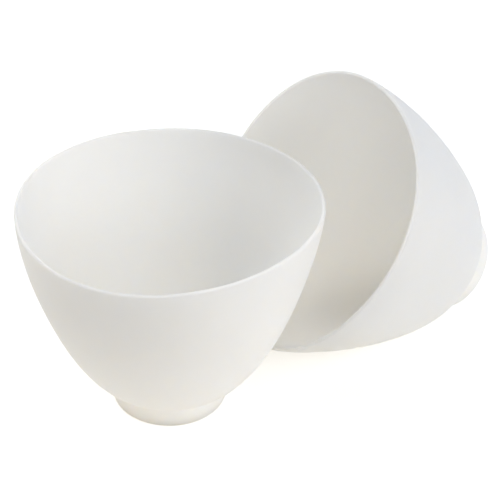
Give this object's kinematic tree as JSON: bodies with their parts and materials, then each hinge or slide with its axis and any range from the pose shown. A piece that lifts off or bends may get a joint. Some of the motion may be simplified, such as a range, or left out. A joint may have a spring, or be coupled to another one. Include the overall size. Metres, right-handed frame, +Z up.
{
  "type": "flexible mixing bowl pair",
  "caption": "Pair of flexible round mixing bowls with low feet and thin rounded lips, for stirring impression material; one stands and its twin lies tipped on foot edge and wall.",
  "frame": {"origin": "centre of the standing bowl's foot, on the table that both bowls rest on", "axes": "+Z up along the standing bowl's axis; +X to the right and +Y away from the viewer as the pair is pictured; the tipped bowl lies towards +X and +Y"},
  "size_m": [0.2063, 0.1689, 0.124],
  "materials": {
    "silicone": "milky white silicone rubber, satin, slightly translucent"
  },
  "bodies": {
    "standing": {"standing_bowl": "silicone"},
    "tipped": {"tipped_bowl": "silicone"}
  },
  "joints": [
    {"name": "tipped_draw_away", "type": "slide", "parent": "standing", "child": "tipped", "axis": [0.8704, 0.4924, 0], "range_m": [0, 0.09]}
  ]
}
